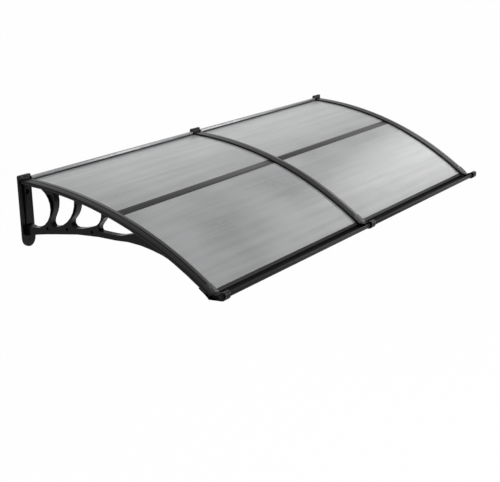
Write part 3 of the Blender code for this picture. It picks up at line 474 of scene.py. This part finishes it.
def strip_end_piece(word, x):
    """Moulded front end: four cross ridges with round crests, and a nose over the gutter's grip."""
    first = STRIP_END_TILT + GAP / RADIUS
    last = tilt_at(REACH)
    pitch = 9.5 * MM
    crest = 1.0 * MM
    ridges = 4
    ridge_start = 5.0 * MM
    ridge_width = 5.5 * MM
    ridge_step = 0.5 * MM
    nose_wall = 2.9 * MM
    nose_top = 1.5 * MM
    nose_foot = 12.8 * MM
    top = []
    for run in spread(0.0, (last - first) * RADIUS, ridge_step):
        past = run - ridge_start
        number = math.floor(past / pitch)
        share = (past - number * pitch) / ridge_width
        on_ridge = 0 <= number < ridges and 0 < share < 1
        height = crest * math.sin(math.pi * share) ** 0.7 if on_ridge else 0.0
        top.append(on_arch(first + run / RADIUS, -height))
    grip_front = slot_point(GAP + GUTTER_WALL, 0.0)
    nose = [grip_front + ALONG_EDGE * ahead + INTO_EDGE * deep for ahead, deep in (
        (nose_wall, nose_top), (nose_wall, nose_foot), (GAP, nose_foot), (GAP, STRIP_THICKNESS))]
    under = [on_arch(tilt, STRIP_THICKNESS) for tilt in reversed(spread(first, SHEET_END_TILT, ARCH_STEP))]
    outline = top + rounded(nose, [1.2 * MM, 0.6 * MM, 0.3 * MM, 0]) + under
    round_side = ((-STRIP_HALF, 0.8 * MM), (-STRIP_HALF + 0.3 * MM, 0.25 * MM),
                  (-STRIP_HALF + 1.0 * MM, 0.0))
    rings = []
    for across, drop in round_side + tuple((-a, d) for a, d in reversed(round_side)):
        rings.append([place(x + across, point + INTO_EDGE * (drop if index < len(top) else 0))
                      for index, point in enumerate(outline)])
    name = f"ridged_strip_end_{word}"
    mesh = joined([loft(rings, name, 40)] + strip_end_skirts(x, first), name, 40)
    return show(name, mesh, ABS, "black_plastic", f"strip_end_{word}")


def strip_end_skirts(x, first):
    """The moulded end's side walls: as deep as the strip's lips, but clear of the gutter's grip."""
    inside_plate = 1.4 * MM
    over_grip = SHEET_TOP - 2 * GAP - GUTTER_WALL
    behind = SHEET_END_TILT - (GRIP + 2 * GAP) / RADIUS
    front = SHEET_END_TILT + (2 * GAP + GUTTER_WALL + STRIP_THICKNESS / 2) / RADIUS
    outline = [on_arch(tilt, inside_plate) for tilt in spread(first, front, ARCH_STEP)]
    outline += [on_arch(tilt, over_grip) for tilt in (front, behind)]
    outline += [on_arch(tilt, LIP_UNDER) for tilt in reversed(spread(first, behind, ARCH_STEP))]
    far = STRIP_HALF - 0.05 * MM
    near = STRIP_HALF - LIP
    skirts = []
    for inner, outer in ((near, far), (-far, -near)):
        skirts.append(loft([[place(x + across, point) for point in outline] for across in (inner, outer)],
                           "strip_end_skirt"))
    return skirts


# Sheets

def sheet_piece(word, x, name, first, last, node):
    """One arched twin-wall sheet: two skins with a web between each two flutes."""
    width = BAY - 2 * SHEET_MARGIN
    count = round((width - SKIN) / FLUTE_PITCH)
    pitch = (width - SKIN) / count
    columns = []
    for number in range(count + 1):
        columns += [number * pitch, number * pitch + SKIN]
    levels = (SHEET_TOP, SHEET_TOP + SKIN, SHEET_UNDER - SKIN, SHEET_UNDER)
    maker = bmesh.new()
    rows = []
    for tilt in spread(first, last, ARCH_STEP):
        rows.append([[maker.verts.new(place(x + SHEET_MARGIN + across, on_arch(tilt, depth)))
                      for depth in levels] for across in columns])
    for near, far in zip(rows, rows[1:]):
        for index in range(len(columns) - 1):
            flute = index % 2 == 1
            for level in (0, 3) + ((1, 2) if flute else ()):
                maker.faces.new((near[index][level], near[index + 1][level],
                                 far[index + 1][level], far[index][level]))
            if not flute:
                for side in (index, index + 1):
                    if 0 < side < len(columns) - 1:
                        maker.faces.new((near[side][1], near[side][2], far[side][2], far[side][1]))
        for side in (0, len(columns) - 1):
            for level in (0, 1, 2):
                maker.faces.new((near[side][level], near[side][level + 1],
                                 far[side][level + 1], far[side][level]))
    for row in (rows[0], rows[-1]):
        for index in range(len(columns) - 1):
            flute = index % 2 == 1
            for level in (0, 2) if flute else (0, 1, 2):
                maker.faces.new((row[index][level], row[index + 1][level],
                                 row[index + 1][level + 1], row[index][level + 1]))
    label = f"twin_wall_{name}_{word}"
    return show(label, closed(maker, label), SHEET_PLASTIC, "grey_sheet", node)


def bay_sheets(word, x):
    web = JOINER_WEB_HALF + GAP
    sheet_piece(word, x, "rear_sheet", REAR_TILT, MID_TILT - web / RADIUS, f"sheet_rear_{word}")
    sheet_piece(word, x, "front_sheet", MID_TILT + web / RADIUS, SHEET_END_TILT, f"sheet_front_{word}")


# Sections along the wall

def joining_strip_piece(word, x):
    """H section with a softly crowned top flange and rounded edges."""
    reach = JOINER_HALF / RADIUS
    web = JOINER_WEB_HALF / RADIUS
    top_in = SHEET_TOP - GAP
    under_in = SHEET_UNDER + GAP
    crown = [on_arch(MID_TILT + share * reach, top_in - JOINER_FLANGE * (1 - 0.55 * abs(share) ** 6))
             for share in (-1, -0.96, -0.88, -0.7, -0.4, 0, 0.4, 0.7, 0.88, 0.96, 1)]
    front_side = ((reach, top_in), (web, top_in), (web, under_in), (reach, under_in),
                  (reach, under_in + JOINER_FLANGE * 0.6), (reach * 0.95, under_in + JOINER_FLANGE))
    front = [on_arch(MID_TILT + turn, depth) for turn, depth in front_side]
    rear = [on_arch(MID_TILT - turn, depth) for turn, depth in reversed(front_side)]
    margin = STRIP_HALF + 2 * GAP
    name = f"anodised_joining_strip_{word}"
    mesh = along_wall(crown + front + rear, x + margin, x + BAY - margin, name)
    return show(name, mesh, JOINER_METAL, "grey_aluminium", f"joining_strip_{word}")


def rear_rail_piece(word, x):
    """Hollow wall rail with rounded top corners, open below where the sheet goes in."""
    wall = 1.6 * MM
    top = 3.5 * MM
    foot = 6.0 * MM
    over = SHEET_TOP - GAP
    under = SHEET_UNDER + GAP
    inner = RAIL_DEPTH - wall
    lip_in = on_arch(tilt_at(inner, over), over)[1]
    lip_out = on_arch(tilt_at(RAIL_DEPTH, over), over)[1]
    ledge_in = on_arch(tilt_at(wall, under), under)[1]
    ledge_out = on_arch(tilt_at(RAIL_DEPTH, under), under)[1]
    outline = [Vector(point) for point in (
        (0, top), (RAIL_DEPTH, top), (RAIL_DEPTH, lip_out), (inner, lip_in), (inner, top - wall),
        (wall, top - wall), (wall, ledge_in), (RAIL_DEPTH, ledge_out), (RAIL_DEPTH, ledge_out - wall),
        (wall, ledge_in - wall), (wall, ledge_in - foot), (0, ledge_in - foot))]
    radii = [size * MM for size in (0.6, 2.4, 0.4, 0.3, 0.8, 0.8, 0.3, 0.3, 0.5, 0.5, 0.3, 0.3)]
    margin = PLATE_HALF + GAP
    name = f"anodised_wall_rail_{word}"
    mesh = along_wall(rounded(outline, radii), x + margin, x + BAY - margin, name)
    return show(name, mesh, RAIL_METAL, "silver_aluminium", f"rear_rail_{word}")


def rear_seal_piece(word, x):
    """Rubber bead with a hollowed front in the corner of rail and sheet."""
    depth = SHEET_TOP - GAP
    inner = RAIL_DEPTH + GAP
    outer = inner + 4.0 * MM
    foot_in = on_arch(tilt_at(inner, depth), depth)
    foot_out = on_arch(tilt_at(outer, depth), depth)
    height = 4.8 * MM
    outline = [foot_in, foot_out, foot_out + Vector((0, 0.2 * height)),
               foot_in + Vector((2.2 * MM, 0.55 * height)), foot_in + Vector((1.2 * MM, height)),
               foot_in + Vector((0, height))]
    margin = PLATE_HALF + GAP
    name = f"rubber_wall_bead_{word}"
    mesh = along_wall(rounded(outline, 0.5 * MM), x + margin, x + BAY - margin, name)
    return show(name, mesh, RUBBER, "black_rubber", f"rear_seal_{word}")


# Front gutter and its collars

def gutter_outline():
    """Grip on the sheet's edge, flat floor, round front corner and a rolled bead."""
    wall = GUTTER_WALL
    corner = 1.0 * MM
    top_in = SHEET_TOP - GAP
    under_in = SHEET_UNDER + GAP
    front_under = slot_point(GAP + wall, SHEET_UNDER)
    back_outer = slot_point(GAP, SHEET_UNDER)[0]
    outline = [slot_point(-GRIP, top_in - wall), slot_point(GAP, top_in - wall),
               slot_point(GAP + wall, top_in - wall), front_under]
    outline += [Vector((front_under[0], GUTTER_FLOOR + wall + corner)),
                Vector((front_under[0] + corner, GUTTER_FLOOR + wall))]
    outline += arc_points(BEND_CENTRE, GUTTER_BEND - wall, -90, 0, 8)
    outline += [Vector((GUTTER_FRONT - wall, BEAD_CENTRE[1] - BEAD * 0.85))]
    outline += arc_points(BEAD_CENTRE, BEAD, -122, -360, 14)
    outline += list(reversed(arc_points(BEND_CENTRE, GUTTER_BEND, -90, 0, 8)))
    outline += [Vector((back_outer + corner, GUTTER_FLOOR)), Vector((back_outer, GUTTER_FLOOR + corner))]
    outline += [slot_point(GAP, under_in + wall), slot_point(-GRIP, under_in + wall),
                slot_point(-GRIP, under_in), slot_point(GAP, under_in), slot_point(GAP, top_in),
                slot_point(-GRIP, top_in)]
    return outline


def gutter_piece(word, x):
    """A bay's gutter: it meets the other one under the middle collar and ends with the outer press strip."""
    starts = x + GAP if word == "right" else x - STRIP_HALF
    ends = x + BAY + STRIP_HALF if word == "right" else x + BAY - GAP
    name = f"anodised_gutter_{word}"
    mesh = along_wall(gutter_outline(), starts, ends, name)
    return show(name, mesh, GUTTER_METAL, "black_aluminium", f"front_gutter_{word}")


def collar_path():
    """Middle line of a collar: under the bracket, round the trough and back over it to the strip's end."""
    gap = GAP + COLLAR_WALL / 2
    corner = 3.0 * MM
    rear = on_arch(RAIL_END_TILT - COLLAR_TAIL / RADIUS, BODY_UNDER + gap)
    nose = on_arch(RAIL_END_TILT, BODY_UNDER + gap)
    back = Vector((slot_point(GAP, SHEET_UNDER)[0] - gap, GUTTER_FLOOR - gap))
    floor_end = Vector((BEND_CENTRE[0], GUTTER_FLOOR - gap))
    tail = rounded([rear, nose, back, floor_end], [0, corner, corner, 0], 5)
    front = arc_points(BEND_CENTRE, GUTTER_BEND + gap, -90, 0, 9)
    front += arc_points(BEAD_CENTRE, BEAD + gap, 0, 110, 9)
    start = front[-1]
    middle = start + Vector((-12.0 * MM, -8.0 * MM))
    end = Vector((REACH + 3.0 * MM, start[1] - 8.8 * MM))
    cover = []
    for share in (0.15, 0.3, 0.45, 0.6, 0.75, 0.9, 1.0):
        cover.append(start * (1 - share) ** 2 + middle * 2 * share * (1 - share) + end * share ** 2)
    return tail[:-1] + front + cover


def collar_piece(word, x):
    """C-shaped collar: a moulded band with two grooves, thicker over the gutter's bead."""
    path = collar_path()
    half = COLLAR_WALL / 2
    width = 18.0 * MM
    edge = 1.0 * MM
    groove = 1.2 * MM
    groove_side = 0.8 * MM
    groove_near = 3.4 * MM
    groove_far = 8.0 * MM
    fade_from = GUTTER_FRONT - 26.0 * MM
    fade_run = 14.0 * MM
    front_extra = 2.8 * MM
    top_extra = 4.5 * MM
    rings = []
    for index, point in enumerate(path):
        before = path[max(index - 1, 0)]
        after = path[min(index + 1, len(path) - 1)]
        run = (after - before).normalized()
        inward = Vector((-run[1], run[0]))
        fade = min(1.0, max(0.0, (point[0] - fade_from) / fade_run))
        extra = front_extra * max(0.0, -inward[0]) ** 2 + top_extra * max(0.0, -inward[1])
        outer = half + fade * extra
        floor = -outer + groove
        right = ((groove_near, -outer), (groove_near + groove_side, floor),
                 (groove_far - groove_side, floor),
                 (groove_far, -outer), (width - edge, -outer), (width, -outer + edge), (width, half - edge),
                 (width - edge, half))
        left = tuple((-across, high) for across, high in reversed(right))
        rings.append([place(x + across, point + inward * high) for across, high in right + left])
    name = f"moulded_gutter_collar_{word}"
    return show(name, loft(rings, name, 40), ABS, "black_plastic", f"gutter_collar_{word}")


# Screws

def screw_mesh(length, name):
    """Pan-head screw with a cross recess and a rolled thread, its seat at the origin."""
    head = 4.0 * MM
    tall = 2.4 * MM
    shank = 1.75 * MM
    core = 1.3 * MM
    neck = 1.0 * MM
    point = 2.5 * MM
    thread_share = 0.16
    sides = 24
    maker = bmesh.new()
    profile = [(head * math.sin(a), -tall + tall * 0.85 * (1 - math.cos(a)))
               for a in spread(math.radians(12), math.radians(90), math.radians(13))]
    profile += [(head, 0.0), (shank, 0.0), (shank, 0.6 * MM), (core, neck)]
    rings = []
    for radius, height in profile:
        rings.append([maker.verts.new((radius * math.cos(math.tau * k / sides),
                                       radius * math.sin(math.tau * k / sides), height))
                      for k in range(sides)])
    pitch = 1.3 * MM
    turns_per_ring = 8
    for step in range(int((length - point) / pitch * turns_per_ring)):
        height = neck + (step + 1) * pitch / turns_per_ring
        ring = []
        for k in range(sides):
            phase = (k / sides - step / turns_per_ring) % 1.0
            crest = max(0.0, 1 - abs(phase - 0.5) / thread_share)
            radius = core + (shank - core) * crest
            ring.append(maker.verts.new((radius * math.cos(math.tau * k / sides),
                                         radius * math.sin(math.tau * k / sides), height)))
        rings.append(ring)
    tip = maker.verts.new((0, 0, length))
    for low, high in zip(rings, rings[1:]):
        for k in range(sides):
            after = (k + 1) % sides
            maker.faces.new((low[k], low[after], high[after], high[k]))
    for k in range(sides):
        maker.faces.new((rings[-1][k], rings[-1][(k + 1) % sides], tip))
    recess = []
    for k in range(sides):
        slot = k % 6 in (0, 1, 5)
        radius = head * (0.55 if slot else 0.2)
        angle = math.tau * k / sides
        recess.append(maker.verts.new((radius * math.cos(angle), radius * math.sin(angle), -tall * 0.93)))
    floor = [maker.verts.new((v.co.x * 0.75, v.co.y * 0.75, -tall * 0.35)) for v in recess]
    for outer, inner in ((rings[0], recess), (recess, floor)):
        for k in range(sides):
            after = (k + 1) % sides
            maker.faces.new((outer[k], outer[after], inner[after], inner[k]))
    maker.faces.new(floor)
    return closed(maker, name, 40)


def screw_pieces(word, x):
    """Three screws through the rail, each in the middle of a facet, and one through the collar."""
    facet = (TILT_FRONT - TILT_WALL) / 16
    strip_length = BODY_UNDER + GAP - STRIP_THICKNESS - 2 * GAP
    collar_length = 12.1 * MM
    for number, spot in enumerate((1, 7, 13), 1):
        tilt = TILT_WALL + (spot + 0.5) * facet
        place_screw(f"cross_screw_{word}_{number}", x, tilt, BODY_UNDER + 2 * GAP, strip_length,
                    f"strip_screw_{word}_{number}")
    tilt = RAIL_END_TILT - 0.4 * COLLAR_TAIL / RADIUS
    place_screw(f"cross_screw_{word}_collar", x, tilt, BODY_UNDER + COLLAR_WALL + 3 * GAP, collar_length,
                f"collar_screw_{word}")


def place_screw(name, x, tilt, depth, length, node):
    mesh = screw_mesh(length, name)
    mesh.transform(Matrix.Translation(place(x, on_arch(tilt, depth))) @ Matrix.Rotation(tilt, 4, "X"))
    return show(name, mesh, ZINC, "zinc_steel", node)


def dress_seals():
    """The seal strips keep their CAD form and get the rubber."""
    for name, node in NODES.items():
        if name.startswith("seal_strip_"):
            node.data.materials.clear()
            node.data.materials.append(RUBBER)


def build():
    for word, x in BRACKETS.items():
        bracket_piece(word)
        press_strip_piece(word, x)
        strip_end_piece(word, x)
        collar_piece(word, x)
        screw_pieces(word, x)
    for word, x in BAYS.items():
        bay_sheets(word, x)
        joining_strip_piece(word, x)
        rear_rail_piece(word, x)
        rear_seal_piece(word, x)
        gutter_piece(word, x)
    dress_seals()


# Stage, light and camera

def background_share(tree):
    """1 for rays that see the background themselves, in a reflection or through a clear piece."""
    path = add(tree, "ShaderNodeLightPath")
    some = add(tree, "ShaderNodeMath", {"operation": "MAXIMUM"},
               {0: path.outputs["Is Camera Ray"], 1: path.outputs["Is Glossy Ray"]})
    every = add(tree, "ShaderNodeMath", {"operation": "MAXIMUM"},
                {0: some.outputs["Value"], 1: path.outputs["Is Transmission Ray"]})
    return every.outputs["Value"]


def white_world():
    world = bpy.data.worlds.new("studio")
    bpy.context.scene.world = world
    world.use_nodes = True
    tree = world.node_tree
    tree.nodes.clear()
    lit = add(tree, "ShaderNodeBackground", {"Color": linear("ffffff"), "Strength": 0.7})
    seen = add(tree, "ShaderNodeBackground", {"Color": linear("ffffff"), "Strength": 1.0})
    mixed = add(tree, "ShaderNodeMixShader", {},
                {0: background_share(tree), 1: lit.outputs[0], 2: seen.outputs[0]})
    add(tree, "ShaderNodeOutputWorld", {}, {"Surface": mixed.outputs[0]})


def pale_floor():
    maker = bmesh.new()
    bmesh.ops.create_grid(maker, x_segments=1, y_segments=1, size=FLOOR_SIZE)
    mesh = bpy.data.meshes.new("floor")
    maker.to_mesh(mesh)
    maker.free()
    floor = bpy.data.objects.new("floor", mesh)
    floor.location = (0, 0, FLOOR_Z)
    bpy.context.scene.collection.objects.link(floor)
    made = bpy.data.materials.new("white_floor")
    made.use_nodes = True
    tree = made.node_tree
    tree.nodes.clear()
    plain = add(tree, "ShaderNodeBsdfDiffuse", {"Color": linear("f4f4f4")})
    seen = add(tree, "ShaderNodeEmission", {"Color": linear("ffffff"), "Strength": 1.0})
    share = add(tree, "ShaderNodeMath", {"operation": "MULTIPLY", 1: 0.97}, {0: background_share(tree)})
    mixed = add(tree, "ShaderNodeMixShader", {},
                {0: share.outputs[0], 1: plain.outputs[0], 2: seen.outputs[0]})
    add(tree, "ShaderNodeOutputMaterial", {}, {"Surface": mixed.outputs[0]})
    mesh.materials.append(made)


def soft_lamp(name, spot, target, size, power):
    data = bpy.data.lights.new(name, "AREA")
    data.shape = "DISK"
    data.size = size
    data.energy = power
    lamp = bpy.data.objects.new(name, data)
    lamp.location = spot
    lamp.rotation_euler = (Vector(target) - Vector(spot)).to_track_quat("-Z", "Y").to_euler()
    bpy.context.scene.collection.objects.link(lamp)


def studio():
    white_world()
    pale_floor()
    middle = (0, -0.45, -0.1)
    soft_lamp("key", (5.4, -0.8, 2.0), (0.9, -0.6, 0.0), 1.8, 20)
    soft_lamp("rear", (5.0, 2.4, 2.3), (0.2, -0.3, 0.0), 3.0, 8)
    soft_lamp("top", (-0.2, 0.6, 3.4), middle, 2.4, 30)
    soft_lamp("front", (3.0, -3.1, 0.3), (-1.2, -0.3, -0.05), 0.8, 45)


def camera():
    data = bpy.data.cameras.new("camera")
    data.lens = LENS
    data.sensor_width = SENSOR
    data.sensor_fit = "HORIZONTAL"
    view = bpy.data.objects.new("camera", data)
    back = -CAMERA_FORWARD.normalized()
    right = CAMERA_UP.cross(back).normalized()
    up = back.cross(right)
    turn = Matrix((right, up, back)).transposed().to_4x4()
    view.matrix_world = Matrix.Translation(CAMERA_AT) @ turn
    bpy.context.scene.collection.objects.link(view)
    bpy.context.scene.camera = view
    bpy.context.scene.view_settings.view_transform = "Standard"


build()
studio()
camera()
